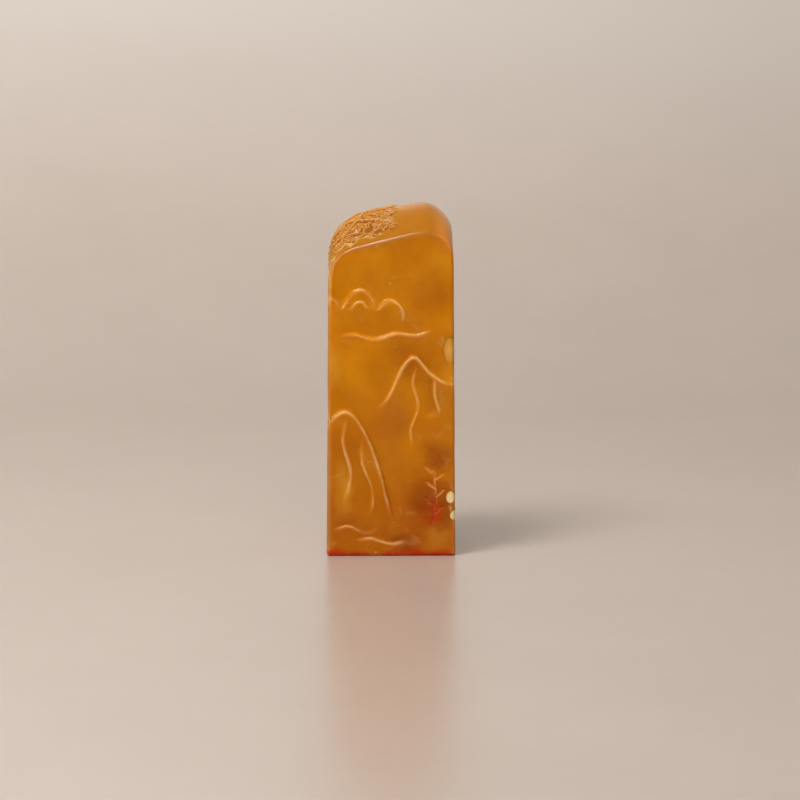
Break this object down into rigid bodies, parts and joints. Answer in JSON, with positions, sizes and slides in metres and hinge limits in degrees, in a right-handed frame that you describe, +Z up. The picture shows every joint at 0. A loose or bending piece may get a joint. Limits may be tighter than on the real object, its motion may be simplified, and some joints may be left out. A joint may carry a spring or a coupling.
{
  "type": "seal stamp",
  "caption": "Square hand seal carved from one block of translucent honey-coloured stone, with a rounded slanting top, low-relief landscape and an engraved printing face.",
  "frame": {"origin": "centre of the printing face, at the level on which the seal stands", "axes": "+Z up from the printing face to the domed top, -Y out of the front face, +X to the front face's right"},
  "size_m": [0.022, 0.022, 0.0595],
  "materials": {
    "honey_stone": "gloss",
    "pale_stone": "satin",
    "seal_paste": "matte"
  },
  "bodies": {
    "root": {"seal_stone": "honey_stone", "face_paste": "seal_paste", "sprig_paste": "seal_paste", "pale_nodule_low": "pale_stone", "pale_nodule_middle": "pale_stone", "pale_nodule_high": "pale_stone"}
  },
  "joints": []
}
